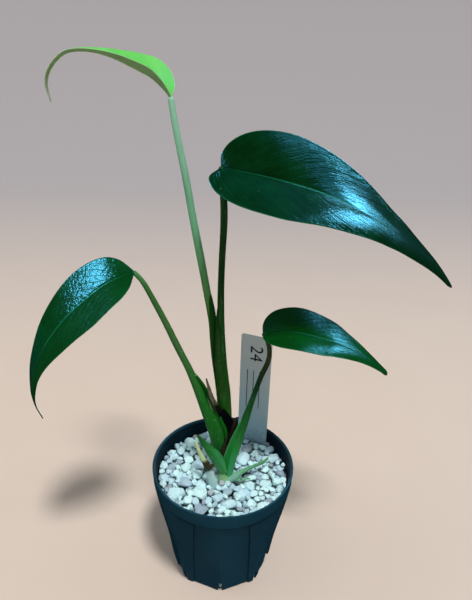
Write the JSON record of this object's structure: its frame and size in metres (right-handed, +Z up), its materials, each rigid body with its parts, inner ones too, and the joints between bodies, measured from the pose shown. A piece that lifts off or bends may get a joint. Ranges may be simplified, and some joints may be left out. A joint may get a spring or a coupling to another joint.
{
  "type": "potted climbing aroid house plant",
  "caption": "Young climbing aroid with long glossy pointed leaves on arching stalks, rooted in pumice in a round slit pot, with a blank label.",
  "frame": {"origin": "centre of the flat underside of the pot, on the surface that it stands on", "axes": "+Z up; +X to the viewer's right with the leaves spread along X; -Y towards the viewer"},
  "size_m": [0.2274, 0.09, 0.3258],
  "materials": {
    "pot": "satin",
    "label": "matte",
    "pumice": "matte",
    "crown": "satin",
    "root": "matte",
    "aerial_root": "satin",
    "stub": "satin",
    "old_stub": "satin",
    "petiole": "satin",
    "young_petiole": "satin",
    "dried": "matte",
    "blade": "gloss",
    "young_blade": "gloss"
  },
  "bodies": {
    "root": {"slit_pot": "pot", "plant_label": "label", "pumice_bed": "pumice", "pumice_grain_01": "pumice", "pumice_grain_02": "pumice", "pumice_grain_03": "pumice", "pumice_grain_04": "pumice", "pumice_grain_05": "pumice", "pumice_grain_06": "pumice", "pumice_grain_07": "pumice", "pumice_grain_08": "pumice", "pumice_grain_09": "pumice", "pumice_grain_10": "pumice", "pumice_grain_11": "pumice", "pumice_grain_12": "pumice", "pumice_grain_13": "pumice", "pumice_grain_14": "pumice", "pumice_grain_15": "pumice", "pumice_grain_16": "pumice", "pumice_grain_17": "pumice", "pumice_grain_18": "pumice", "pumice_grain_19": "pumice", "pumice_grain_20": "pumice", "root_1": "root", "root_2": "root", "root_3": "root", "root_4": "root", "root_5": "root", "crown_stem": "crown", "aerial_root": "aerial_root", "cut_petiole_stub": "stub", "old_sheath_stub": "old_stub", "petiole_a": "petiole", "petiole_b": "petiole", "petiole_c": "petiole", "petiole_d": "young_petiole", "dried_sheath": "dried", "dried_curl": "dried", "blade_a": "blade", "blade_b": "blade", "blade_c": "blade", "blade_d": "young_blade"}
  },
  "joints": []
}
